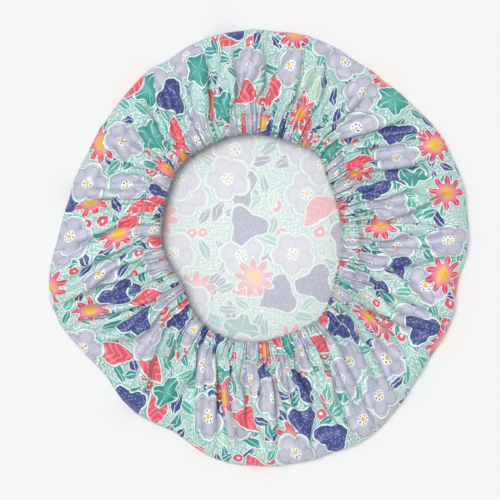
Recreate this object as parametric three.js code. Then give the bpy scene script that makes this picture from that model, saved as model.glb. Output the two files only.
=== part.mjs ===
import * as THREE from "three";

// Driving dimensions in millimetres, angles in degrees

// The cap as it lies, crown down
const CAP_WIDTH = 284;
const CAP_LENGTH = 295;
const EDGE_HEIGHT = 14;
const EDGE_ROLL = 11;
const RIM_HEIGHT = 18;

// The relaxed opening and its place over the crown
const MOUTH_WIDTH = 121;
const MOUTH_LENGTH = 140;
const MOUTH_SHIFT_X = -5;
const MOUTH_SHIFT_Y = 7;

// Cloth, film and thread
const CLOTH = 0.4;
const FILM = 0.25;
const THREAD = 0.7;
const LAYER_GAP = 0.3;

// Elastic and the casing round it
const ELASTIC_WIDTH = 6;
const ELASTIC_THICKNESS = 1;
const ELASTIC_LAP = 14;
const ELASTIC_STEPS = 84;
const CASING_WIDTH = 13;
const CASING_RISE = 5;
const CASING_DROP = 3.2;

// Main gathers round the opening
const GATHERS = 28;
const GATHER_DEPTH = 4;
const SKIRT_DEPTH = 8;
const LONG_FOLD_DEPTH = 7;
const SEAM_DEPTH = 2;
const SEAM_EASE = 1.7;
const HEM_DEPTH = 2;
const RUFFLE = 2;
const EDGE_KINK = 1.5;

// Thread sizes
const THREAD_SIDES = 5;
const SEAM_LIFT = 1.15;
const TACK_STITCHES = 8;
const TACK_WIDTH = 3.4;

// Places where the lying edge falls inside its oval, or outside it where the depth is negative
const EDGE_DENTS = [
  { bearing: 25, spread: 10, depth: -1 },
  { bearing: 55, spread: 15, depth: 5 },
  { bearing: 115, spread: 5, depth: 3 },
  { bearing: 145, spread: 25, depth: 11 },
  { bearing: 170, spread: 15, depth: 6 },
  { bearing: 195, spread: 10, depth: -3 },
  { bearing: 220, spread: 15, depth: 10 },
  { bearing: 245, spread: 10, depth: 9 },
  { bearing: 300, spread: 10, depth: -2 },
  { bearing: 325, spread: 15, depth: 7 },
  { bearing: 350, spread: 10, depth: 6 },
];

const MOUTH_DENTS = [
  { bearing: 52, spread: 12, depth: -5.5 },
  { bearing: 136, spread: 14, depth: -3 },
  { bearing: 214, spread: 20, depth: 7 },
  { bearing: 312, spread: 16, depth: -5 },
];

// Worked out from the dimensions above

const COLUMNS = 2 * GATHERS;
const FULL_TURN = 2 * Math.PI;
const TRACE_STEPS = 720;
const SEAM_STACK = SEAM_EASE * (CLOTH + LAYER_GAP + FILM + LAYER_GAP + CLOTH);

const radians = THREE.MathUtils.degToRad;
const lerp = THREE.MathUtils.lerp;

// Point of an oval with dents at a bearing
function dentedOval(width, length, dents, bearing) {
  const across = Math.cos(bearing) / (width / 2);
  const along = Math.sin(bearing) / (length / 2);
  let radius = 1 / Math.hypot(across, along);
  for (const dent of dents) {
    const turn = bearing - radians(dent.bearing);
    const offset = Math.atan2(Math.sin(turn), Math.cos(turn));
    radius -= dent.depth * Math.exp(-((offset / radians(dent.spread)) ** 2));
  }
  return new THREE.Vector2(Math.cos(bearing), Math.sin(bearing)).multiplyScalar(radius);
}

// The same oval, drawn so that its box is the width by the length about the middle
function outline(width, length, dents) {
  const traced = Array.from({ length: TRACE_STEPS }, (_, step) =>
    dentedOval(width, length, dents, (step / TRACE_STEPS) * FULL_TURN),
  );
  const box = new THREE.Box2().setFromPoints(traced);
  const middle = box.getCenter(new THREE.Vector2());
  const size = new THREE.Vector2(width, length).divide(box.getSize(new THREE.Vector2()));
  return (bearing) => dentedOval(width, length, dents, bearing).sub(middle).multiply(size);
}

const edgePoint = outline(CAP_WIDTH, CAP_LENGTH, EDGE_DENTS);
const mouthPoint = outline(MOUTH_WIDTH, MOUTH_LENGTH, MOUTH_DENTS);

const rimCentre = new THREE.Vector3(MOUTH_SHIFT_X, MOUTH_SHIFT_Y, RIM_HEIGHT);

// Plan point a distance outboard of the opening's edge, seen from the centre of the rim
function besideMouth(bearing, distance) {
  const inner = mouthPoint(bearing);
  const outer = edgePoint(bearing).sub(new THREE.Vector2(MOUTH_SHIFT_X, MOUTH_SHIFT_Y));
  const outward = outer.sub(inner).normalize();
  return inner.addScaledVector(outward, distance);
}

// Every second column is the top of a gather; spacing and fullness vary a little from one to the next
function columnBearing(column) {
  const uneven = 0.22 * Math.sin(2.4 * column) + 0.16 * Math.sin(5.1 * column + 1);
  return ((column + uneven) / COLUMNS) * FULL_TURN;
}

function fullness(column) {
  return column % 2 === 0 ? 0.8 + 0.2 * Math.sin(1.7 * column) : 0;
}

// How much of a gather runs on as a long fold towards the edge
function longFold(column) {
  return column % 2 === 0 ? Math.max(0, Math.sin(1.13 * column + 0.6)) : 0;
}

// One column of the cloth, from beside the middle of the crown to the end of the hem
function clothColumn(column) {
  const bearing = columnBearing(column);
  const full = fullness(column);
  const long = longFold(column);
  const flatEdge = edgePoint(bearing);
  const edge = flatEdge.setLength(flatEdge.length() + (long - 0.5) * EDGE_KINK);
  const inboard = (distance) => edge.clone().setLength(edge.length() - distance);
  const rim = (distance, height) => {
    const plan = besideMouth(bearing, distance);
    return new THREE.Vector3(plan.x, plan.y, height).add(rimCentre);
  };
  const raised = (plan, height) => new THREE.Vector3(plan.x, plan.y, height);
  const seam = rim(CASING_WIDTH, full * SEAM_DEPTH);
  const shoulder = raised(inboard(EDGE_ROLL * 0.5), EDGE_HEIGHT);
  const skirt = (along, height, rise) => {
    const plan = shoulder.clone().lerp(seam, along);
    return raised(plan, lerp(EDGE_HEIGHT, RIM_HEIGHT, height) + rise);
  };
  return [
    raised(inboard(EDGE_ROLL), 0),
    raised(inboard(EDGE_ROLL * 0.22), EDGE_HEIGHT * 0.17),
    raised(edge, EDGE_HEIGHT * 0.5),
    shoulder,
    skirt(0.4, 0.6, long * LONG_FOLD_DEPTH),
    skirt(0.78, 0.75, full * SKIRT_DEPTH),
    seam,
    rim(CASING_WIDTH / 2, CASING_RISE + full * GATHER_DEPTH),
    rim(-full * RUFFLE, 0),
    rim(CASING_WIDTH / 2, -CASING_DROP - full * HEM_DEPTH),
    rim(CASING_WIDTH, full * SEAM_DEPTH - SEAM_STACK),
  ];
}

const SEAM_RING = 6;

// Faces of a round sheet: a fan about its middle, then bands out to its last ring
function discFaces(rings) {
  const at = (ring, column) => 1 + ring * COLUMNS + (column % COLUMNS);
  const faces = [];
  for (let column = 0; column < COLUMNS; column += 1) {
    faces.push([0, at(0, column + 1), at(0, column)]);
    for (let ring = 0; ring + 1 < rings; ring += 1) {
      const a = at(ring, column);
      const b = at(ring, column + 1);
      const c = at(ring + 1, column + 1);
      const d = at(ring + 1, column);
      faces.push([a, b, c], [a, c, d]);
    }
  }
  return faces;
}

// Moves every point of a sheet inward so that each face beside it moves by the distance
function offsetInward(points, faces, distance) {
  const beside = points.map(() => []);
  for (const face of faces) {
    const normal = new THREE.Triangle(...face.map((index) => points[index])).getNormal(new THREE.Vector3());
    for (const index of face) {
      beside[index].push(normal);
    }
  }
  return points.map((point, index) => {
    const normal = new THREE.Vector3();
    for (const face of beside[index]) {
      normal.add(face);
    }
    normal.normalize();
    const steepest = Math.min(...beside[index].map((face) => face.dot(normal)));
    return point.clone().addScaledVector(normal, -distance / Math.max(steepest, 0.55));
  });
}

function solidOf(points, faces) {
  const geometry = new THREE.BufferGeometry().setFromPoints(points);
  geometry.setIndex(faces.flat());
  geometry.computeVertexNormals();
  return geometry;
}

// A round sheet of even thickness, closed by a narrow wall at its rim
function sheetSolid(outer, faces, rings, thickness) {
  const inner = offsetInward(outer, faces, thickness);
  const count = outer.length;
  const all = [...faces, ...faces.map(([a, b, c]) => [a + count, c + count, b + count])];
  const last = 1 + (rings - 1) * COLUMNS;
  for (let column = 0; column < COLUMNS; column += 1) {
    const a = last + column;
    const b = last + ((column + 1) % COLUMNS);
    all.push([a, b, b + count], [a, b + count, a + count]);
  }
  return solidOf([...outer, ...inner], all);
}

// Skin through a row of sections, joined end to start or closed with flat ends
function loft(sections, closed) {
  const sides = sections[0].length;
  const count = sections.length;
  const at = (section, side) => (section % count) * sides + (side % sides);
  const faces = [];
  const spans = closed ? count : count - 1;
  for (let section = 0; section < spans; section += 1) {
    for (let side = 0; side < sides; side += 1) {
      const a = at(section, side);
      const b = at(section, side + 1);
      const c = at(section + 1, side + 1);
      const d = at(section + 1, side);
      faces.push([a, b, c], [a, c, d]);
    }
  }
  for (let side = 1; side + 1 < sides && !closed; side += 1) {
    faces.push([at(0, 0), at(0, side + 1), at(0, side)]);
    faces.push([at(count - 1, 0), at(count - 1, side), at(count - 1, side + 1)]);
  }
  return solidOf(sections.flat(), faces);
}

// Round thread along a row of points
function threadAlong(path, closed) {
  const up = new THREE.Vector3(0, 0, 1);
  const sections = path.map((point, index) => {
    const before = path[closed ? (index + path.length - 1) % path.length : Math.max(index - 1, 0)];
    const after = path[closed ? (index + 1) % path.length : Math.min(index + 1, path.length - 1)];
    const heading = after.clone().sub(before).normalize();
    const across = heading.clone().cross(up).normalize();
    const upright = across.clone().cross(heading);
    return Array.from({ length: THREAD_SIDES }, (_, side) => {
      const turn = (side / THREAD_SIDES) * FULL_TURN;
      return point
        .clone()
        .addScaledVector(across, (Math.cos(turn) * THREAD) / 2)
        .addScaledVector(upright, (-Math.sin(turn) * THREAD) / 2);
    });
  });
  return loft(sections, closed);
}

// Cloth shell and film liner

const columns = Array.from({ length: COLUMNS }, (_, column) => clothColumn(column));
const clothRings = columns[0].length;

function ringsAsPoints(rings) {
  const points = [new THREE.Vector3()];
  for (let ring = 0; ring < rings; ring += 1) {
    points.push(...columns.map((column) => column[ring]));
  }
  return points;
}

const clothFaces = discFaces(clothRings);
const clothPoints = ringsAsPoints(clothRings);
const shellGeometry = sheetSolid(clothPoints, clothFaces, clothRings, CLOTH);

const filmRings = SEAM_RING + 1;
const filmFaces = discFaces(filmRings);
const filmPoints = offsetInward(clothPoints, clothFaces, CLOTH + LAYER_GAP).slice(0, 1 + filmRings * COLUMNS);
const linerGeometry = sheetSolid(filmPoints, filmFaces, filmRings, FILM);

// Elastic, laid flat in the middle of the casing, its end lapped over its start

const lapTurn = ELASTIC_LAP / mouthPoint(0).length();
const lapRise = ELASTIC_THICKNESS + LAYER_GAP;

function elasticSection(step) {
  const bearing = (step / ELASTIC_STEPS) * (FULL_TURN + lapTurn);
  const climb = THREE.MathUtils.smoothstep(bearing, FULL_TURN - lapTurn, FULL_TURN - lapTurn / 4);
  const middle = climb * lapRise;
  const near = besideMouth(bearing, (CASING_WIDTH - ELASTIC_WIDTH) / 2);
  const far = besideMouth(bearing, (CASING_WIDTH + ELASTIC_WIDTH) / 2);
  const low = middle - ELASTIC_THICKNESS / 2;
  const high = middle + ELASTIC_THICKNESS / 2;
  return [
    new THREE.Vector3(near.x, near.y, low),
    new THREE.Vector3(near.x, near.y, high),
    new THREE.Vector3(far.x, far.y, high),
    new THREE.Vector3(far.x, far.y, low),
  ];
}

const elasticSections = Array.from({ length: ELASTIC_STEPS + 1 }, (_, step) => elasticSection(step));
const elasticGeometry = loft(elasticSections, false);

// Zigzag tack over the lap

const tackHeight = lapRise + ELASTIC_THICKNESS / 2 + LAYER_GAP + THREAD / 2;
const tackPath = Array.from({ length: TACK_STITCHES + 1 }, (_, stitch) => {
  const bearing = lerp(0.15, 0.85, stitch / TACK_STITCHES) * lapTurn;
  const side = stitch % 2 === 0 ? -1 : 1;
  const plan = besideMouth(bearing, CASING_WIDTH / 2 + (side * TACK_WIDTH) / 2);
  return new THREE.Vector3(plan.x, plan.y, tackHeight);
});
const tackGeometry = threadAlong(tackPath, false);

// Seam threads above and below the foot of the casing

function seamPath(ring, lift) {
  return columns.map((column) => column[ring].clone().sub(rimCentre).add(new THREE.Vector3(0, 0, lift)));
}

const needleGeometry = threadAlong(seamPath(SEAM_RING, SEAM_LIFT), true);
const bobbinGeometry = threadAlong(seamPath(clothRings - 1, -SEAM_LIFT), true);

// Materials and assembly

const printedCloth = new THREE.MeshStandardMaterial({ color: 0xb1b5be, roughness: 0.75, metalness: 0 });
const filmMaterial = new THREE.MeshStandardMaterial({ color: 0xf0f4f2, roughness: 0.45, metalness: 0 });
const elasticMaterial = new THREE.MeshStandardMaterial({ color: 0xf2f0ea, roughness: 0.85, metalness: 0 });
const threadMaterial = new THREE.MeshStandardMaterial({ color: 0xe6ecec, roughness: 0.7, metalness: 0 });

function piece(name, geometry, material) {
  const mesh = new THREE.Mesh(geometry, material);
  mesh.name = name;
  return mesh;
}

const rim = new THREE.Group();
rim.position.copy(rimCentre);
rim.add(
  piece("elastic_band", elasticGeometry, elasticMaterial),
  piece("elastic_tack", tackGeometry, threadMaterial),
  piece("needle_thread", needleGeometry, threadMaterial),
  piece("bobbin_thread", bobbinGeometry, threadMaterial),
);

const cap = new THREE.Group();
cap.add(
  piece("outer_shell", shellGeometry, printedCloth),
  piece("waterproof_liner", linerGeometry, filmMaterial),
  rim,
);

// The origin is under the middle of the cap's box
const box = new THREE.Box3().setFromPoints(clothPoints);
const middle = box.getCenter(new THREE.Vector3());
cap.position.set(-middle.x, -middle.y, -box.min.z);

const assembly = new THREE.Group();
assembly.add(cap);

export default assembly;
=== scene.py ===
import math

import bpy
import numpy as np
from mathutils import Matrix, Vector


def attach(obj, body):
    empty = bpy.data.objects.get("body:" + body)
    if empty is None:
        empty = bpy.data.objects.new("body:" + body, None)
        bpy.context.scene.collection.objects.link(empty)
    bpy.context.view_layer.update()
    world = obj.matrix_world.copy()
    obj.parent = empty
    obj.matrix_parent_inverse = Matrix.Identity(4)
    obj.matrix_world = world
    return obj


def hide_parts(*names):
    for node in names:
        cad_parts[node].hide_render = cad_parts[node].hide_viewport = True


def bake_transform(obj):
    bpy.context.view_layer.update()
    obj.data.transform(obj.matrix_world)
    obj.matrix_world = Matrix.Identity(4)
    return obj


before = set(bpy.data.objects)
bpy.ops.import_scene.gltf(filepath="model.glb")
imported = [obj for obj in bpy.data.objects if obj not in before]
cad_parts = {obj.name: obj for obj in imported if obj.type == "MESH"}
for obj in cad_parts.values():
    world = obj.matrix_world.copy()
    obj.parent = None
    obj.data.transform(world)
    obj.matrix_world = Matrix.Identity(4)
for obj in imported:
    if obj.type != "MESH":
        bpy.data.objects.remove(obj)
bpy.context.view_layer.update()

TURN = 2 * math.pi
MM = 0.001

# Sizes of the lying cap in millimetres, as in the solids, with a somewhat fuller casing
CAP_WIDTH = 284.0
CAP_LENGTH = 295.0
EDGE_HEIGHT = 14.0
EDGE_ROLL = 11.0
RIM_HEIGHT = 18.0
MOUTH_WIDTH = 121.0
MOUTH_LENGTH = 140.0
MOUTH_SHIFT = np.array([-5.0, 7.0])
CASING_WIDTH = 13.0
CASING_RISE = 6.0
CASING_DROP = 4.0
SEAM_RISE = 2.5

# Where the edge and the opening leave their ovals: bearing and spread in degrees, depth in millimetres
EDGE_DENTS = (
    (25, 10, -1),
    (55, 15, 5),
    (115, 5, 3),
    (145, 25, 11),
    (170, 15, 6),
    (195, 10, -3),
    (220, 15, 10),
    (245, 10, 9),
    (300, 10, -2),
    (325, 15, 7),
    (350, 10, 6),
)
MOUTH_DENTS = (
    (52, 12, -5.5),
    (136, 14, -3),
    (214, 20, 7),
    (312, 16, -5),
)

# Cloth, film and thread in millimetres
CLOTH = 0.2
FILM = 0.12
FILM_GAP = 0.2
THREAD_RADIUS = 0.2
THREAD_SIDES = 6
STITCH = 2.5

# Grid of the cloth
COLUMNS = 1088  # points round a ring
CROWN_SHARES = (0.42, 0.78, 0.95, 1.0)  # rings of the crown, as shares of its reach
EDGE_RINGS = 6
SKIRT_STEP = 2.3  # millimetres from ring to ring
SKIRT_CURVE = 0.9
CASING_TURNS = (22, 45, 68, 90, 112, 135, 158, 180, 215, 255, 295, 330)  # degrees on from the seam
CASING_TOP = 90
MOUTH_TURN = 180
TRACE_STEPS = 720
MOUTH_TRACE_STEPS = 2880

# Size of the folds round the edge, in radians of its turn, and round the casing, in degrees
FOLDS_BEGIN = (-0.6, 0.9)
FOLDS_EASE = (90, 180)
FOLDS_END = (180, 225)
HEM_FOLDS_BEGIN = (225, 280)
HEM_FOLDS_END = (290, 330)
MOUTH_EASE = 0.35  # share of the folds that is lost by the opening
MOUTH_LEAN = 0.3  # share by which they lean into the opening
HEM_FOLDS = 0.4  # share of the folds in the turned hem

# Gathers
LONG_FOLDS = (8, 25, 42, 64, 86, 108, 130, 152, 175, 198, 220, 243, 266, 290, 310, 330, 349)  # bearings
THREEFOLD = 0.36  # share of the folds that part in three at the last level
STEEPEST = 1.75  # radians
SLACK = 1.08  # length of the skirt's cloth against the way it has to go
FOLD_SEED = 3
UNEVEN = 0.12  # bounds of chance, from here to the leans
SKEW = 0.3
RUNS = (0.55, 1.6)
DEPTHS = (0.5, 1.5)
LEANS = (-1, 1)
TUCK = 0.16  # share of a fold's half that leans

# Levels of folds, the finest first: share at the seam, and distances from it where they grow and fade
FOLD_SHAPES = (
    {"first": 1.0, "grows": None, "fades": (9, 24), "narrow": 1.0, "leans": 0.0},
    {"first": 0.2, "grows": (6, 20), "fades": (24, 44), "narrow": 1.3, "leans": 0.1},
    {"first": 0.12, "grows": (10, 34), "fades": (46, 68), "narrow": 2.2, "leans": 0.35},
    {"first": 0.1, "grows": (14, 58), "fades": None, "narrow": 2.6, "leans": 0.45},
)

# Fitting of the folds to the length of a ring
LEAST_FULLNESS = 1.008  # a ring with less is left smooth
FITTING_ROUNDS = 14
HALVINGS = 18
GREATEST_SCALE = 6.0
EVENING = 1.2  # how strongly a round evens out the folds
EVENING_STEP = (0.85, 1.18)
EVENING_BOUNDS = (0.3, 3)
LEAST_SEEN = 0.05  # weight of cloth that stands upright

# Settling of the cloth, in millimetres and steps
SETTLE_STEPS = 200
FALL = 0.0015  # speed gained in a step
KEPT_SPEED = 0.9  # share of the speed kept in a step
FASTEST = 0.5
LAYERS_APART = 1.0  # distance that two layers keep
SAME_LAYER = 3.0  # points closer than this in the flat cut are of one layer
PUSH = 0.25  # share of a lacking distance that is made up in a step
SAG = 8.0  # how far the skirt may fall
ELASTIC_TOP = 21.4  # height that the casing rests on
MOUTH_DROP = 4  # how much lower it may lie beside the opening
EDGE_HOLD = 0.15  # pull back to the start in a step, here and in the next two
SEAM_HOLD = 0.03
CASING_HOLD = 0.04
THREAD_STIFFNESS = 0.9
SLANT_STIFFNESS = 0.4
BEND_STIFFNESS = 0.014
BEND_RINGS = (2, 4)  # rings apart
PLEAT_LINKS = ((2, 0.014, 0.6), (4, 0.014, 0.95), (8, 0.007, 1.0))  # columns apart, stiffness, loss at rim
RIM_BEGINS = (16, 3)  # rings before the seam between which the pleats lose stiffness
RIPPLES = 24
RIPPLE_HEIGHT = 0.4
RIPPLE_WAVES = (6, 34)  # round the cap
RIPPLE_ROWS = (0.5, 3.0)  # from the edge to the seam
SMOOTHING = 3  # passes over the slump


def smooth(low, high, x):
    """Smooth step from 0 at low to 1 at high."""
    t = np.clip((x - low) / (high - low), 0, 1)
    return t * t * (3 - 2 * t)


def dented_oval(width, length, dents, bearing):
    """Points of an oval with dents."""
    radius = 1 / np.hypot(np.cos(bearing) / (width / 2), np.sin(bearing) / (length / 2))
    for at, spread, depth in dents:
        turn = (bearing - math.radians(at) + math.pi) % TURN - math.pi
        radius = radius - depth * np.exp(-((turn / math.radians(spread)) ** 2))
    return np.stack([radius * np.cos(bearing), radius * np.sin(bearing)], -1)


def outline(width, length, dents, bearing):
    """The same oval, fitted to its width and length about the middle."""
    traced = dented_oval(width, length, dents, np.linspace(0, TURN, TRACE_STEPS, endpoint=False))
    low, high = traced.min(0), traced.max(0)
    fitted = dented_oval(width, length, dents, bearing) - (low + high) / 2
    return fitted * (np.array([width, length]) / (high - low))


def steps_of(ring):
    """Lengths of a closed ring's steps."""
    return np.linalg.norm(np.roll(ring, -1, 0) - ring, axis=1)


def along_ring(ring, values, share):
    """Values carried by a closed ring's points, read at shares of the ring's own length."""
    run = np.concatenate([[0], np.cumsum(steps_of(ring))])
    closed = np.concatenate([values, values[:1]])
    at = (share % 1.0) * run[-1]
    return np.stack([np.interp(at, run, closed[:, k]) for k in range(closed.shape[1])], -1)


def windowed(values, half):
    """Running mean of values round a closed ring."""
    kernel = np.hanning(2 * half + 1)
    kernel /= kernel.sum()
    return np.convolve(np.concatenate([values] * 3), kernel, "same")[len(values):2 * len(values)]


# The cap without its gathers

class SmoothCap:
    """Rings of the ungathered cap from the crown to the end of the hem.

    Every ring has the direction in which its folds rise and how much they do.
    The flat radius is the distance from the middle of the flat cut."""

    def __init__(self):
        self.turn = np.arange(COLUMNS) / COLUMNS * TURN
        self.rings, self.ways, self.sizes = [], [], []
        edge = outline(CAP_WIDTH, CAP_LENGTH, EDGE_DENTS, self.turn)
        bearings = np.linspace(0, TURN, MOUTH_TRACE_STEPS, endpoint=False)
        dense = outline(MOUTH_WIDTH, MOUTH_LENGTH, MOUTH_DENTS, bearings)
        self.mouth = along_ring(dense, dense, self.turn / TURN) + MOUTH_SHIFT
        tangent = np.roll(self.mouth, -1, 0) - np.roll(self.mouth, 1, 0)
        tangent /= np.linalg.norm(tangent, axis=1)[:, None]
        self.outward = np.stack([tangent[:, 1], -tangent[:, 0]], -1)
        self.reach = np.linalg.norm(edge, axis=1)[:, None]
        self.ray = edge / self.reach
        self.up = np.tile([0.0, 0.0, 1.0], (COLUMNS, 1))
        self.add_crown()
        self.add_edge()
        self.add_skirt()
        self.add_casing()
        self.rings = np.array(self.rings)
        self.measure_cut()

    def add(self, plan, height, way, size):
        self.rings.append(np.concatenate([plan, np.full((COLUMNS, 1), float(height))], 1))
        self.ways.append(way)
        self.sizes.append(size)

    def level(self, plan):
        return np.concatenate([plan, np.zeros((COLUMNS, 1))], 1)

    def add_crown(self):
        for share in CROWN_SHARES:
            self.add(self.ray * (self.reach - EDGE_ROLL) * share, 0, self.up, 0)
        self.crown_ring = len(self.rings) - 1

    def add_edge(self):
        for turned in np.linspace(-math.pi / 2, math.pi / 2, EDGE_RINGS + 1)[1:]:
            bulge = EDGE_ROLL * (math.cos(turned) - 1)
            height = EDGE_HEIGHT / 2 * (1 + math.sin(turned))
            way = self.level(self.ray) * math.cos(turned) + self.up * math.sin(turned)
            self.add(self.ray * (self.reach + bulge), height, way, smooth(*FOLDS_BEGIN, turned))
        self.shoulder_ring = len(self.rings) - 1

    def add_skirt(self):
        shoulder = self.rings[-1][:, :2]
        seam = self.mouth + self.outward * CASING_WIDTH
        climb = RIM_HEIGHT + SEAM_RISE - EDGE_HEIGHT
        count = int(round(np.linalg.norm(seam - shoulder, axis=1).mean() / SKIRT_STEP))
        for share in np.arange(1, count + 1) / count:
            height = EDGE_HEIGHT + climb * math.sin(share * math.pi / 2) ** SKIRT_CURVE
            self.add(shoulder * (1 - share) + seam * share, height, self.up, 1)
        self.seam_ring = len(self.rings) - 1

    def add_casing(self):
        middle = self.mouth + self.outward * CASING_WIDTH / 2
        for degrees in CASING_TURNS:
            turned = math.radians(degrees)
            lift = math.sin(turned)
            base, rise = RIM_HEIGHT, CASING_RISE if lift > 0 else CASING_DROP
            if degrees < CASING_TOP:
                base, rise = RIM_HEIGHT + SEAM_RISE, CASING_RISE - SEAM_RISE
            over = smooth(*FOLDS_EASE, degrees)
            under = smooth(*HEM_FOLDS_BEGIN, degrees)
            size = 1 - MOUTH_EASE * over
            way = self.up * size - self.level(self.outward) * MOUTH_LEAN * over
            if degrees > MOUTH_TURN:
                of_the_top = (1 - MOUTH_EASE) * (1 - smooth(*FOLDS_END, degrees))
                of_the_hem = HEM_FOLDS * under * (1 - smooth(*HEM_FOLDS_END, degrees))
                size = of_the_top + of_the_hem
                way = self.up * (1 - 2 * under)
            plan = middle + self.outward * CASING_WIDTH / 2 * math.cos(turned)
            self.add(plan, base + rise * lift, way, size)
            if degrees == MOUTH_TURN:
                self.mouth_ring = len(self.rings) - 1

    def measure_cut(self):
        steps = np.linalg.norm(np.diff(self.rings, axis=0), axis=2)
        ring = np.arange(len(steps))
        in_skirt = smooth(self.shoulder_ring - 2, self.shoulder_ring + 3, ring)
        in_skirt = in_skirt * (1 - smooth(self.seam_ring - 3, self.seam_ring, ring))
        steps = steps * (1 + (SLACK - 1) * in_skirt)[:, None]
        start = np.linalg.norm(self.rings[:1, :, :2], axis=2)
        self.flat_radius = np.concatenate([start, steps]).cumsum(0)
        self.cut = self.flat_radius[..., None] * np.stack([np.cos(self.turn), np.sin(self.turn)], -1)


# Gathers as a tree of folds: each long fold parts three times, in two or at last in three

def fold_tree(rng):
    """Bounds of the folds of each level as shares of a turn, the finest level first."""
    bounds = np.array(LONG_FOLDS) / 360
    first = bounds[0]
    bounds = np.concatenate([bounds - first, [1.0]])
    levels = [bounds]
    last_level = len(FOLD_SHAPES) - 1
    for level in range(1, last_level + 1):
        widths = np.diff(bounds)
        parts = np.full(len(widths), 2)
        if level == last_level:
            parts[widths > np.quantile(widths, 1 - THREEFOLD)] = 3
        cuts = []
        for low, width, count in zip(bounds, widths, parts):
            nth = np.arange(count)
            shifted = rng.uniform(-UNEVEN, UNEVEN, count) * (nth > 0)
            cuts.append(low + width * (nth + shifted) / count)
        bounds = np.concatenate(cuts + [[1.0]])
        levels.append(bounds)
    return levels[::-1], first


def folds_of(cap, rng):
    """For every level, where each column lies in its fold and how that fold differs from its neighbours."""
    levels, first = fold_tree(rng)
    share = (cap.turn / TURN - first) % 1.0
    folds = []
    for bounds in levels:
        count = len(bounds) - 1
        which = np.clip(np.searchsorted(bounds, share, side="right") - 1, 0, count - 1)
        side = 2 * (share - bounds[which]) / (bounds[which + 1] - bounds[which]) - 1
        skew = rng.uniform(-SKEW, SKEW, count)[which]
        folds.append({
            "side": side + skew * (1 - side ** 2),
            "run": rng.uniform(*RUNS, count)[which],
            "depth": rng.uniform(*DEPTHS, count)[which],
            "lean": rng.uniform(*LEANS, count)[which],
        })
    return folds


def fold_weight(shape, away):
    """How much a level of folds shows at distances from the seam."""
    weight = shape["first"]
    if shape["grows"]:
        weight = weight + (1 - shape["first"]) * smooth(*shape["grows"], away)
    if shape["fades"]:
        weight = weight * (1 - smooth(*shape["fades"], away))
    return weight


def fold_slopes(folds, away):
    """Slope and lean of the cloth at distances from the seam: fine pleats near it, long folds far off."""
    slope, lean = np.zeros(COLUMNS), np.zeros(COLUMNS)
    for fold, shape in zip(folds, FOLD_SHAPES):
        weight = fold_weight(shape, away / fold["run"])
        side = fold["side"]
        phase = math.pi * (1 + np.sign(side) * np.abs(side) ** shape["narrow"])
        slope += weight * fold["depth"] * np.sin(phase)
        tuck = np.exp(-(((1 - np.abs(side)) / TUCK) ** 2))
        lean += weight * fold["lean"] * tuck * shape["leans"]
    return slope, lean


def tilt_to_fit(slope, cloth, target, half):
    """The slope scaled until the folded cloth is as long as its ring, evenly all the way round."""
    gain = np.ones(COLUMNS)
    for _ in range(FITTING_ROUNDS):
        low, high = 0.0, GREATEST_SCALE
        for _ in range(HALVINGS):
            scale = (low + high) / 2
            tilt = np.clip(scale * gain * slope, -STEEPEST, STEEPEST)
            if np.average(np.cos(tilt), weights=cloth) > target:
                low = scale
            else:
                high = scale
        gain *= np.clip(1 + EVENING * (windowed(np.cos(tilt), half) - target), *EVENING_STEP)
        gain = np.clip(gain, *EVENING_BOUNDS)
    return tilt, min(scale, 1.0)


def gathered(cap):
    """The cap with its cloth gathered: each ring keeps the length of its cloth, laid in folds."""
    folds = folds_of(cap, np.random.default_rng(FOLD_SEED))
    points = cap.rings.copy()
    half = int(COLUMNS / len(LONG_FOLDS) / 2)
    even = np.arange(COLUMNS) / COLUMNS
    for ring, size in enumerate(cap.sizes):
        radius = cap.flat_radius[ring]
        cloth = np.hypot(radius * TURN / COLUMNS, np.roll(radius, -1) - radius)
        fullness = cloth.sum() / steps_of(cap.rings[ring]).sum()
        if fullness < LEAST_FULLNESS or size == 0:
            continue
        away = np.maximum(cap.flat_radius[cap.seam_ring] - radius, 0)
        slope, lean = fold_slopes(folds, away)
        tilt, scale = tilt_to_fit(slope, cloth, 1 / fullness, half)
        tilt = tilt + lean * scale
        run = np.concatenate([[0], np.cumsum(np.cos(tilt) * cloth)])
        place = run[:-1] / run[-1]
        place = place - windowed(place - even, half)
        rise = np.concatenate([[0], np.cumsum(np.sin(tilt) * cloth)])
        rise = rise[:-1] - even * rise[-1]
        seen = np.clip(np.cos(tilt), LEAST_SEEN, 1)
        rise = rise - windowed(rise * seen, half) / windowed(seen, half)
        base = along_ring(cap.rings[ring], np.concatenate([cap.rings[ring], cap.ways[ring]], 1), place)
        points[ring] = base[:, :3] + base[:, 3:] * (rise * size)[:, None]
    return points


# Settling: the folds slump into place as loose cloth, which links draw towards the distances of the flat cut

class Links:
    """Pairs of points with the distance that the flat cut gives them. No point is in one batch twice."""

    def __init__(self, cut, loose):
        self.rings, self.columns = cut.shape[:2]
        self.cut = cut.reshape(-1, 2)
        self.loose = loose.ravel()
        self.batches = []

    def add(self, ring_step, column_step, stiffness):
        """Links points so many rings and columns apart; the stiffness is one number or one for each ring."""
        ring, column = np.mgrid[0:self.rings - ring_step, 0:self.columns]
        turn = ring // ring_step if ring_step else column // column_step
        stiffness = np.broadcast_to(stiffness, self.rings)
        for half in (0, 1):
            r, c = ring[turn % 2 == half], column[turn % 2 == half]
            here = r * self.columns + c
            there = (r + ring_step) * self.columns + (c + column_step) % self.columns
            rest = np.linalg.norm(self.cut[there] - self.cut[here], axis=1)
            give = self.loose[here] + self.loose[there]
            share = stiffness[r] / np.maximum(give, 1)
            self.batches.append((here, there, rest, share * self.loose[here], share * self.loose[there]))
        return self

    def pull(self, points):
        for here, there, rest, give_here, give_there in self.batches:
            way = points[there] - points[here]
            length = np.sqrt((way * way).sum(1)) + 1e-9
            way *= ((length - rest) / length)[:, None]
            points[here] += way * give_here[:, None]
            points[there] -= way * give_there[:, None]


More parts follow.
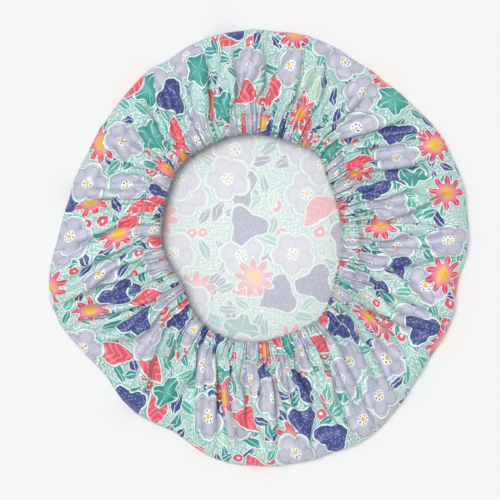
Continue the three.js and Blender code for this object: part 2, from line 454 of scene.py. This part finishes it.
def push_apart(points, cut, loose):
    """Moves points of different layers apart where they are closer than two layers lie."""
    cell = np.floor(points / LAYERS_APART).astype(np.int64)
    cell -= cell.min(0) - 1
    span = cell.max(0) + 2
    key = (cell[:, 0] * span[1] + cell[:, 1]) * span[2] + cell[:, 2]
    order = np.argsort(key, kind="stable")
    ranked = key[order]
    moves, counts = np.zeros_like(points), np.zeros(len(points))
    sides = (-1, 0, 1)
    beside = [(x, y, z) for x in sides for y in sides for z in sides if (x, y, z) >= (0, 0, 0)]
    for x, y, z in beside:
        wanted = key + (x * span[1] + y) * span[2] + z
        first = np.searchsorted(ranked, wanted, "left")
        found = np.searchsorted(ranked, wanted, "right") - first
        for nth in range(found.max()):
            here = np.nonzero(found > nth)[0]
            there = order[first[here] + nth]
            gap = points[here] - points[there]
            length = np.sqrt((gap * gap).sum(1))
            apart = np.abs(cut[here] - cut[there]).sum(1)
            close = (length < LAYERS_APART) & (length > 1e-6) & (apart > SAME_LAYER)
            if (x, y, z) == (0, 0, 0):
                close &= here < there
            here, there, gap, length = here[close], there[close], gap[close], length[close]
            push = gap * (PUSH * (LAYERS_APART - length) / length)[:, None]
            np.add.at(moves, here, push)
            np.add.at(moves, there, -push)
            np.add.at(counts, here, 1)
            np.add.at(counts, there, 1)
    points += moves / np.maximum(counts, 1)[:, None] * loose[:, None]


def holds(ring_count, shoulder, seam):
    """How strongly each ring is pulled back to where it started."""
    hold = np.zeros(ring_count)
    hold[2:shoulder - 1] = EDGE_HOLD
    hold[seam] = SEAM_HOLD
    hold[seam + 1:] = CASING_HOLD
    return hold


def lowest_heights(height, shoulder, seam):
    """Heights below which the rings can't fall: nothing at the crown, then the sag, then the elastic."""
    ring = np.arange(len(height))
    lowest = np.where(ring < seam, height, height[seam]) - SAG
    lowest = lowest * smooth(shoulder - 3, shoulder - 1, ring)
    over_elastic = smooth(seam, seam + 3, ring)
    at_mouth = smooth(seam + 5, seam + 8, ring)
    return lowest + ((ELASTIC_TOP - lowest) * over_elastic - MOUTH_DROP * at_mouth)


def add_ripples(points, turn, seam):
    """Low ripples between the crown and the seam, so that the cloth doesn't slump evenly."""
    rng = np.random.default_rng(FOLD_SEED)
    share = np.clip(np.arange(len(points)) / seam, 0, 1)[:, None]
    for _ in range(RIPPLES):
        waves, rows = rng.integers(*RIPPLE_WAVES), rng.uniform(*RIPPLE_ROWS)
        turned, shifted = rng.uniform(0, TURN, 2)
        ripple = np.sin(waves * turn + turned) * np.sin(rows * TURN * share + shifted)
        points[..., 2] += RIPPLE_HEIGHT * ripple * np.sin(share * math.pi)


def links_of(cut, loose, seam):
    """Tight links between neighbours, and weak ones further apart that keep the cloth from sharp bends."""
    far, near = RIM_BEGINS
    near_rim = smooth(seam - far, seam - near, np.arange(len(cut)))
    tight = Links(cut, loose).add(0, 1, THREAD_STIFFNESS).add(1, 0, THREAD_STIFFNESS)
    tight.add(1, 1, SLANT_STIFFNESS).add(1, -1, SLANT_STIFFNESS)
    stiff = Links(cut, loose)
    for columns, stiffness, lost in PLEAT_LINKS:
        stiff.add(0, columns, stiffness * (1 - lost * near_rim))
    for rings in BEND_RINGS:
        stiff.add(rings, 0, BEND_STIFFNESS)
    return tight, stiff


def smoothed(slump):
    """The slump evened out over neighbouring points."""
    for _ in range(SMOOTHING):
        slump[1:-1] = (slump[:-2] + 2 * slump[1:-1] + slump[2:]) / 4
    return (np.roll(slump, 1, 1) + 2 * slump + np.roll(slump, -1, 1)) / 4


def settled(cap, points):
    """The gathered cloth after it has slumped, held at the crown, along the edge and at the opening."""
    first, last = cap.crown_ring - 1, cap.mouth_ring
    shoulder, seam = cap.shoulder_ring - first, cap.seam_ring - first
    moving = points[first:last + 1].copy()
    shape = moving.shape
    add_ripples(moving, cap.turn, seam)
    loose = np.ones(shape[:2])
    loose[:2] = loose[-1] = 0
    cut = cap.cut[first:last + 1]
    tight, stiff = links_of(cut, loose, seam)
    hold = np.repeat(holds(len(moving), shoulder, seam), COLUMNS)[:, None]
    lowest = np.repeat(lowest_heights(cap.rings[first:last + 1, 0, 2], shoulder, seam), COLUMNS)

    moving, cut, loose = moving.reshape(-1, 3), cut.reshape(-1, 2), loose.ravel()
    start = moving.copy()
    speed = np.zeros_like(moving)
    for step in range(SETTLE_STEPS):
        before = moving.copy()
        speed[:, 2] -= FALL
        moving += speed * KEPT_SPEED * loose[:, None]
        tight.pull(moving)
        tight.pull(moving)
        stiff.pull(moving)
        moving[:, 2] = np.where(loose > 0, np.maximum(moving[:, 2], lowest), moving[:, 2])
        if step % 2 == 0:
            push_apart(moving, cut, loose)
        moving += (start - moving) * hold
        speed = np.clip(moving - before, -FASTEST, FASTEST)

    out = points.copy()
    out[first:last + 1] = start.reshape(shape) + smoothed((moving - start).reshape(shape))
    drift = out[cap.seam_ring] - points[cap.seam_ring]
    hem = np.arange(last + 1, len(out))
    out[hem] += drift * smooth(last, len(out) - 1, hem)[:, None, None]
    out[..., 2] = np.maximum(out[..., 2], 0)
    return out


def outward_normals(rings):
    """Normals of a grid of rings, away from the inside of the cap."""
    across = np.roll(rings, -1, 1) - np.roll(rings, 1, 1)
    along = np.gradient(rings, axis=0)
    normals = np.cross(across, along)
    return normals / (np.linalg.norm(normals, axis=2)[..., None] + 1e-12)


# Meshes

def mesh_object(name, points, faces, materials, slots=None):
    mesh = bpy.data.meshes.new(name)
    mesh.from_pydata((np.asarray(points) * MM).tolist(), [], faces)
    mesh.shade_smooth()
    for material in materials:
        mesh.materials.append(material)
    if slots is not None:
        mesh.polygons.foreach_set("material_index", np.asarray(slots, np.int32))
    mesh.update()
    thing = bpy.data.objects.new(name, mesh)
    bpy.context.scene.collection.objects.link(thing)
    return thing


def disc_faces(ring_count, columns, start, flip):
    """Faces of a disc of rings round a middle point."""
    faces = []
    here = np.arange(columns)
    there = (here + 1) % columns
    for a, b in zip(here, there):
        faces.append((start, start + 1 + b, start + 1 + a))
    for ring in range(ring_count - 1):
        base = start + 1 + ring * columns
        faces += list(zip(base + here, base + there, base + columns + there, base + columns + here))
    faces = [tuple(int(i) for i in face) for face in faces]
    return [face[::-1] for face in faces] if flip else faces


def disc_points(rings):
    """The middle point of a disc, then the points of its rings."""
    return np.concatenate([[[0, 0, rings[0, :, 2].mean()]], rings.reshape(-1, 3)])


def two_skins(name, outer, inner, cut, materials):
    """A thin closed sheet between two discs of rings, with its flat cut as a map."""
    ring_count, columns = outer.shape[:2]
    points = np.concatenate([disc_points(outer), disc_points(inner)])
    per_skin = 1 + ring_count * columns
    first = disc_faces(ring_count, columns, 0, False)
    second = disc_faces(ring_count, columns, per_skin, True)
    last = 1 + (ring_count - 1) * columns
    wall = []
    for column in range(columns):
        a, b = last + column, last + (column + 1) % columns
        wall.append((a, b, b + per_skin, a + per_skin))
    slots = [0] * len(first) + [1] * len(second) + [0] * len(wall)
    thing = mesh_object(name, points, first + second + wall, materials, slots)
    cut = np.concatenate([np.zeros((1, 2)), cut.reshape(-1, 2)]) * MM
    largest = np.abs(cut).max() * 1.02
    corners = np.empty(len(thing.data.loops), np.int32)
    thing.data.loops.foreach_get("vertex_index", corners)
    flat_cut = thing.data.uv_layers.new(name="FlatCut")
    flat_cut.data.foreach_set("uv", np.concatenate([cut, cut])[corners].ravel())
    halves = np.concatenate([cut / largest * 0.25 + (0.25, 0.5), cut / largest * 0.25 + (0.75, 0.5)])
    sheet_map = thing.data.uv_layers.new(name="OFBake")
    sheet_map.data.foreach_set("uv", halves[corners].ravel())
    thing.data.uv_layers.active = flat_cut
    return thing


def closed_tube(name, path, normals, radius, sides, material):
    """A round thread along a closed path."""
    heading = np.roll(path, -1, 0) - np.roll(path, 1, 0)
    heading /= np.linalg.norm(heading, axis=1)[:, None]
    across = np.cross(heading, normals)
    across /= np.linalg.norm(across, axis=1)[:, None]
    upright = np.cross(across, heading)
    angle = np.arange(sides) / sides * TURN
    points = path[:, None] + radius * (
        np.cos(angle)[None, :, None] * across[:, None] + np.sin(angle)[None, :, None] * upright[:, None]
    )
    count = len(path)
    faces = []
    for i in range(count):
        for k in range(sides):
            a, b = i * sides + k, i * sides + (k + 1) % sides
            c, d = (i + 1) % count * sides + (k + 1) % sides, (i + 1) % count * sides + k
            faces.append((a, d, c, b))
    return mesh_object(name, points.reshape(-1, 3), faces, [material])


# Materials

def colour(red, green, blue):
    """An sRGB colour of 0 to 255 as the linear colour that a shader takes."""
    shares = [level / 255 for level in (red, green, blue)]
    linear = [share / 12.92 if share <= 0.04045 else ((share + 0.055) / 1.055) ** 2.4 for share in shares]
    return (*linear, 1.0)


GROUND = colour(206, 229, 228)
HALO = colour(247, 251, 251)
DOT_TEAL = colour(108, 188, 178)
LAVENDER = colour(202, 202, 217)
LAVENDER_DEEP = colour(180, 183, 206)
NAVY = colour(70, 82, 146)
NAVY_FLECK = colour(190, 196, 226)
CORAL = colour(238, 92, 112)
CORAL_PALE = colour(248, 158, 160)
ROSE = colour(226, 66, 100)
YELLOW = colour(246, 196, 66)
ORANGE = colour(240, 142, 70)
TEAL = colour(88, 184, 168)
TEAL_DEEP = colour(56, 156, 152)
GREEN = colour(184, 215, 190)
PALE = colour(252, 253, 252)


class Net:
    """Short ways to add nodes to a tree; soft is the softness of printed edges in millimetres each way."""

    def __init__(self, tree, soft=0.0):
        self.tree = tree
        self.soft = soft

    def node(self, kind, **settings):
        made = self.tree.nodes.new(kind)
        for key, value in settings.items():
            setattr(made, key, value)
        return made

    def put(self, socket, value):
        if isinstance(value, bpy.types.NodeSocket):
            self.tree.links.new(value, socket)
        elif value is not None:
            socket.default_value = value

    def math(self, operation, a, b=None, c=None):
        made = self.node("ShaderNodeMath", operation=operation)
        for socket, value in zip(made.inputs, (a, b, c)):
            self.put(socket, value)
        return made.outputs[0]

    def vector(self, operation, a, b=None):
        made = self.node("ShaderNodeVectorMath", operation=operation)
        self.put(made.inputs[0], a)
        self.put(made.inputs["Scale"] if operation == "SCALE" else made.inputs[1], b)
        return made.outputs[0]

    def mix(self, share, a, b, blend="MIX"):
        made = self.node("ShaderNodeMix", data_type="RGBA", blend_type=blend)
        self.put(made.inputs["Factor"], share)
        self.put(made.inputs[6], a)
        self.put(made.inputs[7], b)
        return made.outputs[2]

    def above(self, value, low, high):
        """0 below low, 1 above high, smooth between."""
        made = self.node("ShaderNodeMapRange", interpolation_type="SMOOTHSTEP")
        self.put(made.inputs["Value"], value)
        made.inputs["From Min"].default_value = low
        made.inputs["From Max"].default_value = high
        return made.outputs["Result"]

    def below(self, value, low, high):
        """1 below low, 0 above high, smooth between."""
        return self.math("SUBTRACT", 1.0, self.above(value, low, high))

    def within(self, inside, margin=0.0, half=0.15):
        """1 inside a printed shape grown by a margin, 0 outside it."""
        return self.above(inside, -margin - half - self.soft, -margin + half + self.soft)

    def times(self, *values):
        product = values[0]
        for value in values[1:]:
            product = self.math("MULTIPLY", product, value)
        return product

    def distance(self, x, y):
        return self.math("SQRT", self.math("ADD", self.times(x, x), self.times(y, y)))

    def noise(self, place, scale, detail):
        made = self.node("ShaderNodeTexNoise", noise_dimensions="2D")
        self.put(made.inputs["Vector"], place)
        made.inputs["Scale"].default_value = scale
        made.inputs["Detail"].default_value = detail
        return made

    def cells(self, place, spacing, scatter, shift):
        """One spot in each cell: x and y from the spot, turned at random, and two random numbers."""
        scaled = self.vector("ADD", self.vector("SCALE", place, 1 / spacing), (shift, shift * 0.7, 0))
        spots = self.node("ShaderNodeTexVoronoi", voronoi_dimensions="2D", feature="F1")
        self.put(spots.inputs["Vector"], scaled)
        spots.inputs["Scale"].default_value = 1
        spots.inputs["Randomness"].default_value = scatter
        local = self.vector("SCALE", self.vector("SUBTRACT", scaled, spots.outputs["Position"]), spacing)
        chance = self.node("ShaderNodeSeparateColor")
        self.put(chance.inputs[0], spots.outputs["Color"])
        turn = self.node("ShaderNodeVectorRotate", rotation_type="Z_AXIS")
        self.put(turn.inputs["Vector"], local)
        self.put(turn.inputs["Angle"], self.times(chance.outputs[0], TURN))
        xyz = self.node("ShaderNodeSeparateXYZ")
        self.put(xyz.inputs[0], turn.outputs[0])
        return xyz.outputs[0], xyz.outputs[1], chance.outputs[1], chance.outputs[2]


# The print, in millimetres of the flat cut: flowers, clovers and pods over leaves, berries and dots

def dotted_ground(net, flat, place):
    x, y, _, _ = net.cells(place, spacing=2.5, scatter=0.55, shift=3.1)
    dot = net.below(net.distance(x, y), 0.6, 0.95)
    tone = net.above(net.noise(flat, 0.045, 1).outputs[0], 0.34, 0.52)
    ground = net.mix(tone, GROUND, net.mix(0.43, GROUND, TEAL))
    return net.mix(net.times(dot, 0.85), ground, net.mix(tone, DOT_TEAL, HALO))


LEAF_PAINTS = ((0.28, TEAL), (0.52, GREEN), (0.6, NAVY))


def with_leaves(net, place, shown, spacing, shift):
    """Leaves and berries, one in most cells, painted by chance."""
    x, y, chance, other = net.cells(place, spacing, scatter=0.8, shift=shift)
    along = net.math("DIVIDE", x, spacing * 0.5)
    width = net.times(net.math("SUBTRACT", 1.0, net.times(along, along)), spacing * 0.19)
    leaf = net.math("SUBTRACT", width, net.math("ABSOLUTE", y))
    reach = net.distance(x, y)
    is_berry = net.math("GREATER_THAN", chance, 0.8)
    inside = net.math("ADD", net.times(net.math("SUBTRACT", spacing * 0.24, reach), is_berry),
                      net.times(leaf, net.math("SUBTRACT", 1.0, is_berry)))
    inside = net.math("SUBTRACT", inside, net.times(net.math("GREATER_THAN", other, 0.8), 50.0))
    paint = TEAL_DEEP
    for least, other_paint in LEAF_PAINTS:
        paint = net.mix(net.math("GREATER_THAN", chance, least), paint, other_paint)
    paint = net.mix(net.times(net.below(net.math("ABSOLUTE", y), 0.16, 0.42), 0.8), paint, HALO)
    seed = net.below(reach, spacing * 0.07, spacing * 0.09)
    paint = net.mix(is_berry, paint, net.mix(seed, CORAL, HALO))
    shown = net.mix(net.within(inside, 0.65), shown, HALO)
    return net.mix(net.within(inside), shown, paint)


def flecks(net, flat, shift):
    """Short dashes scattered in every direction."""
    x, y, chance, _ = net.cells(flat, spacing=2.3, scatter=0.9, shift=shift)
    in_length = net.below(net.math("ABSOLUTE", x), 0.7, 0.9)
    in_width = net.below(net.math("ABSOLUTE", y), 0.14, 0.3)
    dash = net.times(in_length, in_width)
    return net.times(dash, net.math("GREATER_THAN", chance, 0.35))


def lobed(net, angle, lobes, depth, base):
    """Radius of a lobed outline at an angle."""
    return net.math("MULTIPLY_ADD", net.math("COSINE", net.times(angle, lobes)), depth, base)


def lavender_flower(net, x, y, reach, angle, fleck):
    petal = net.math("POWER", net.math("ABSOLUTE", net.math("SINE", net.times(angle, 2.5))), 0.6)
    inside = net.math("SUBTRACT", net.math("MULTIPLY_ADD", petal, 4.6, 10.4), reach)
    between_petals = net.times(net.above(reach, 3.0, 9.0), net.below(petal, 0.2, 0.85), 0.8)
    paint = net.mix(between_petals, LAVENDER, LAVENDER_DEEP)
    row = net.below(net.math("ABSOLUTE", net.math("SUBTRACT", inside, 2.3)), 0.2, 0.45)
    dashes = net.math("GREATER_THAN", net.math("SINE", net.times(angle, 40.0)), -0.2)
    paint = net.mix(net.times(row, dashes, 0.6), paint, NAVY)
    paint = net.mix(net.below(reach, 4.0, 4.4), paint, HALO)
    seeds = net.above(net.math("COSINE", net.times(angle, 7.0)), 0.2, 0.6)
    ring = net.below(net.math("ABSOLUTE", net.math("SUBTRACT", reach, 2.9)), 0.35, 0.6)
    paint = net.mix(net.times(seeds, ring), paint, NAVY)
    return inside, net.mix(net.below(reach, 1.3, 1.6), paint, YELLOW)


def navy_clover(net, x, y, reach, angle, fleck):
    inside = net.math("SUBTRACT", lobed(net, angle, 3.0, 3.0, 11.6), reach)
    return inside, net.mix(net.times(fleck, 0.8), NAVY, NAVY_FLECK)


def coral_blossom(net, x, y, reach, angle, fleck):
    inside = net.math("SUBTRACT", lobed(net, angle, 9.0, 3.0, 10.8), reach)
    paint = net.mix(net.above(reach, 4.0, 10.5), CORAL_PALE, ROSE)
    vein = net.math("GREATER_THAN", net.math("COSINE", net.times(angle, 27.0)), 0.72)
    paint = net.mix(net.times(vein, 0.3), paint, HALO)
    heart = net.mix(net.times(fleck, 0.9), YELLOW, ORANGE)
    return inside, net.mix(net.below(reach, 4.1, 4.6), paint, heart)


def coral_pod(net, x, y, reach, angle, fleck):
    bent = net.math("ABSOLUTE", net.math("ADD", y, net.times(x, x, 0.02)))
    taper = net.math("SUBTRACT", 1.0, net.times(x, x, 1 / 15.0 ** 2))
    inside = net.math("SUBTRACT", net.times(taper, 7.8), bent)
    stripe = net.above(net.math("SINE", net.times(net.math("ADD", x, bent), 1.15)), 0.35, 0.6)
    return inside, net.mix(net.times(stripe, 0.75), CORAL, CORAL_PALE)


def teal_leaf(net, x, y, reach, angle, fleck):
    inside = net.math("SUBTRACT", lobed(net, angle, 5.0, 1.8, 10.6), reach)
    rib = net.above(net.math("COSINE", net.times(angle, 5.0)), 0.975, 0.995)
    paint = net.mix(net.above(reach, 2.0, 11.0), TEAL, TEAL_DEEP)
    return inside, net.mix(net.times(rib, 0.75), paint, HALO)


# Each motif with the chance up to which it is taken
MOTIFS = (
    (0.4, lavender_flower),
    (0.57, navy_clover),
    (0.76, coral_blossom),
    (0.91, coral_pod),
    (1.01, teal_leaf),
)


def with_motifs(net, flat, place, shown, spacing, shift):
    """Large motifs, one in each cell, each with a white and a teal border."""
    x, y, chance, _ = net.cells(place, spacing, scatter=0.62, shift=shift)
    reach = net.distance(x, y)
    angle = net.math("ARCTAN2", y, x)
    fleck = flecks(net, flat, shift + 9)
    inside, paint, low = 0.0, HALO, -0.01
    for high, motif in MOTIFS:
        shape, fill = motif(net, x, y, reach, angle, fleck)
        chosen = net.times(net.math("GREATER_THAN", chance, low), net.math("LESS_THAN", chance, high))
        inside = net.math("ADD", inside, net.times(shape, chosen))
        paint = net.mix(chosen, paint, fill)
        low = high - 1e-6
    shown = net.mix(net.within(inside, 1.95), shown, DOT_TEAL)
    shown = net.mix(net.within(inside, 1.25), shown, HALO)
    return net.mix(net.within(inside), shown, paint)


def print_group(name, soft):
    tree = bpy.data.node_groups.new(name, "ShaderNodeTree")
    tree.interface.new_socket("Color", in_out="OUTPUT", socket_type="NodeSocketColor")
    net = Net(tree, soft)
    flat = net.vector("SCALE", net.node("ShaderNodeUVMap", uv_map="FlatCut").outputs[0], 1 / MM)
    wobble = net.vector("SUBTRACT", net.noise(flat, 0.16, 1.5).outputs["Color"], (0.5, 0.5, 0.5))
    place = net.vector("ADD", flat, net.vector("SCALE", wobble, 3.0))
    shown = dotted_ground(net, flat, place)
    shown = with_leaves(net, place, shown, spacing=17.0, shift=7.3)
    shown = with_leaves(net, place, shown, spacing=14.0, shift=12.9)
    shown = with_motifs(net, flat, place, shown, spacing=36.0, shift=1.7)
    shown = with_motifs(net, flat, place, shown, spacing=43.0, shift=5.6)
    net.put(net.node("NodeGroupOutput").inputs[0], shown)
    return tree


def new_material(name):
    material = bpy.data.materials.new(name)
    material.use_nodes = True
    return material, Net(material.node_tree), material.node_tree.nodes["Principled BSDF"]


def add_bump(net, shader, height, strength, distance):
    bump = net.node("ShaderNodeBump")
    bump.inputs["Strength"].default_value = strength
    bump.inputs["Distance"].default_value = distance
    net.put(bump.inputs["Height"], height)
    net.put(shader.inputs["Normal"], bump.outputs[0])


def stripes(net, place, direction, scale, distortion):
    wave = net.node("ShaderNodeTexWave", wave_type="BANDS", bands_direction=direction)
    net.put(wave.inputs["Vector"], place)
    wave.inputs["Scale"].default_value = scale
    wave.inputs["Distortion"].default_value = distortion
    wave.inputs["Detail"].default_value = 0
    return wave.outputs["Fac"]


WEAVE_SCALE = 700
WEAVE_WANDER = 0.6


def cloth_material(name, wash, soft):
    """Plain-woven printed cloth; the print is faded by a share and its edges are softened."""
    material, net, shader = new_material(name)
    group = net.node("ShaderNodeGroup", node_tree=print_group(name + "Print", soft))
    cut = net.node("ShaderNodeUVMap", uv_map="FlatCut").outputs[0]
    warp, weft = (stripes(net, cut, direction, WEAVE_SCALE, WEAVE_WANDER) for direction in "XY")
    weave = net.math("MAXIMUM", warp, weft)
    shade = net.node("ShaderNodeCombineColor")
    for socket in shade.inputs[:3]:
        net.put(socket, net.math("MULTIPLY_ADD", weave, 0.07, 0.95))
    printed = net.mix(wash, group.outputs[0], PALE)
    net.put(shader.inputs["Base Color"], net.mix(1.0, printed, shade.outputs[0], "MULTIPLY"))
    net.put(shader.inputs["Roughness"], net.math("MULTIPLY_ADD", weave, 0.1, 0.33))
    shader.inputs["Sheen Weight"].default_value = 0.06
    shader.inputs["Sheen Roughness"].default_value = 0.5
    add_bump(net, shader, weave, 0.25, 0.00008)
    return material


def film_material():
    """Clear waterproof film with a faint haze and fine creases."""
    material, net, shader = new_material("LinerFilm")
    cut = net.node("ShaderNodeUVMap", uv_map="FlatCut").outputs[0]
    crease = net.noise(cut, 28, 3).outputs[0]
    net.put(shader.inputs["Base Color"], net.mix(crease, colour(244, 247, 245), colour(252, 253, 252)))
    net.put(shader.inputs["Roughness"], net.math("MULTIPLY_ADD", crease, 0.2, 0.3))
    shader.inputs["Alpha"].default_value = 0.05
    add_bump(net, shader, crease, 0.25, 0.002)
    return material


def yarn_material(name, light, dark, scale):
    """Spun or braided yarn: slanting strands."""
    material, net, shader = new_material(name)
    place = net.node("ShaderNodeTexCoord").outputs["Object"]
    strands = stripes(net, place, "DIAGONAL", scale, 1.2)
    net.put(shader.inputs["Base Color"], net.mix(strands, dark, light))
    net.put(shader.inputs["Roughness"], net.math("MULTIPLY_ADD", strands, -0.15, 0.8))
    add_bump(net, shader, strands, 0.5, 0.0002)
    return material


def floor_material():
    material, _, shader = new_material("PaleFloor")
    shader.inputs["Base Color"].default_value = colour(247, 247, 247)
    shader.inputs["Roughness"].default_value = 0.9
    shader.inputs["Specular IOR Level"].default_value = 0.0
    return material


printed = cloth_material("PrintedCloth", wash=0.0, soft=0.0)
reverse = cloth_material("ClothReverse", wash=0.43, soft=0.5)
film = film_material()
thread = yarn_material("SpunThread", colour(226, 240, 236), colour(190, 212, 206), 900)
braid = yarn_material("BraidedElastic", colour(246, 245, 240), colour(214, 212, 204), 420)

# Pieces

cap = SmoothCap()
cloth = settled(cap, gathered(cap))
cloth_normal = outward_normals(cloth)

shell = two_skins("shell_cloth", cloth, cloth - cloth_normal * CLOTH, cap.cut, [printed, reverse])
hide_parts("outer_shell")

film_part = np.s_[:cap.seam_ring + 1, ::2]
film_outer = cloth - cloth_normal * (CLOTH + FILM_GAP)
film_inner = film_outer - cloth_normal * FILM
film_sheets = [sheet[film_part] for sheet in (film_outer, film_inner, cap.cut)]
liner = two_skins("liner_film", *film_sheets, [film, film])
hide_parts("waterproof_liner")


def seam_thread(name, node, ring):
    """A row of stitches along a ring of the cloth, each rising from the cloth and dipping into it."""
    path = cloth[ring]
    sewn = np.concatenate([[0], np.cumsum(steps_of(path))[:-1]])
    arch = np.abs(np.sin(math.pi * sewn / STITCH))
    path = path + cloth_normal[ring] * (THREAD_RADIUS * (2 * arch - 0.6))[:, None]
    row = closed_tube(name, path, cloth_normal[ring], THREAD_RADIUS, THREAD_SIDES, thread)
    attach(row, "rim")
    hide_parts(node)


seam_thread("needle_stitches", "needle_thread", cap.seam_ring)
seam_thread("bobbin_stitches", "bobbin_thread", len(cloth) - 2)

for node, material in (("elastic_band", braid), ("elastic_tack", thread)):
    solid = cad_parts[node]
    solid.data.materials.clear()
    solid.data.materials.append(material)

for piece, last_ring, support in ((shell, -1, "elastic_band"), (liner, cap.seam_ring, shell)):
    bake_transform(piece)

# Floor, light and camera

FLOOR_REACH = 4.0
FLOOR_GAP = 0.0004
ROOM_LIGHT = 0.44
PHOTO_PIXELS = 500
PIXEL = 0.68 * MM
CAMERA_HEIGHT = 1.5
CAMERA_SHIFT = (-8.5, -2.0)  # pixels of the photograph
SENSOR = 36

floor_mesh = bpy.data.meshes.new("floor")
corners = [(x * FLOOR_REACH, y * FLOOR_REACH, -FLOOR_GAP) for x, y in ((-1, -1), (1, -1), (1, 1), (-1, 1))]
floor_mesh.from_pydata(corners, [], [(0, 1, 2, 3)])
floor_mesh.materials.append(floor_material())
floor = bpy.data.objects.new("floor", floor_mesh)
bpy.context.scene.collection.objects.link(floor)

scene = bpy.context.scene
world = bpy.data.worlds.new("SoftRoom")
world.use_nodes = True
scene.world = world
background = world.node_tree.nodes["Background"]
background.inputs["Color"].default_value = (1.0, 1.0, 1.0, 1.0)
background.inputs["Strength"].default_value = ROOM_LIGHT


def sun(name, source, strength, spread):
    """A broad soft light from a direction."""
    lamp = bpy.data.lights.new(name, "SUN")
    lamp.energy = strength
    lamp.angle = math.radians(spread)
    thing = bpy.data.objects.new(name, lamp)
    thing.rotation_euler = (-Vector(source)).to_track_quat("-Z", "Y").to_euler()
    scene.collection.objects.link(thing)


sun("window_light", source=(-0.16, 0.09, 1.0), strength=1.77, spread=20)

camera = bpy.data.cameras.new("camera")
camera.sensor_width = SENSOR
camera.lens = SENSOR * CAMERA_HEIGHT / (PHOTO_PIXELS * PIXEL)
camera_thing = bpy.data.objects.new("camera", camera)
camera_thing.location = (CAMERA_SHIFT[0] * PIXEL, CAMERA_SHIFT[1] * PIXEL, CAMERA_HEIGHT)
scene.collection.objects.link(camera_thing)
scene.camera = camera_thing

scene.view_settings.view_transform = "Standard"

bpy.context.view_layer.update()
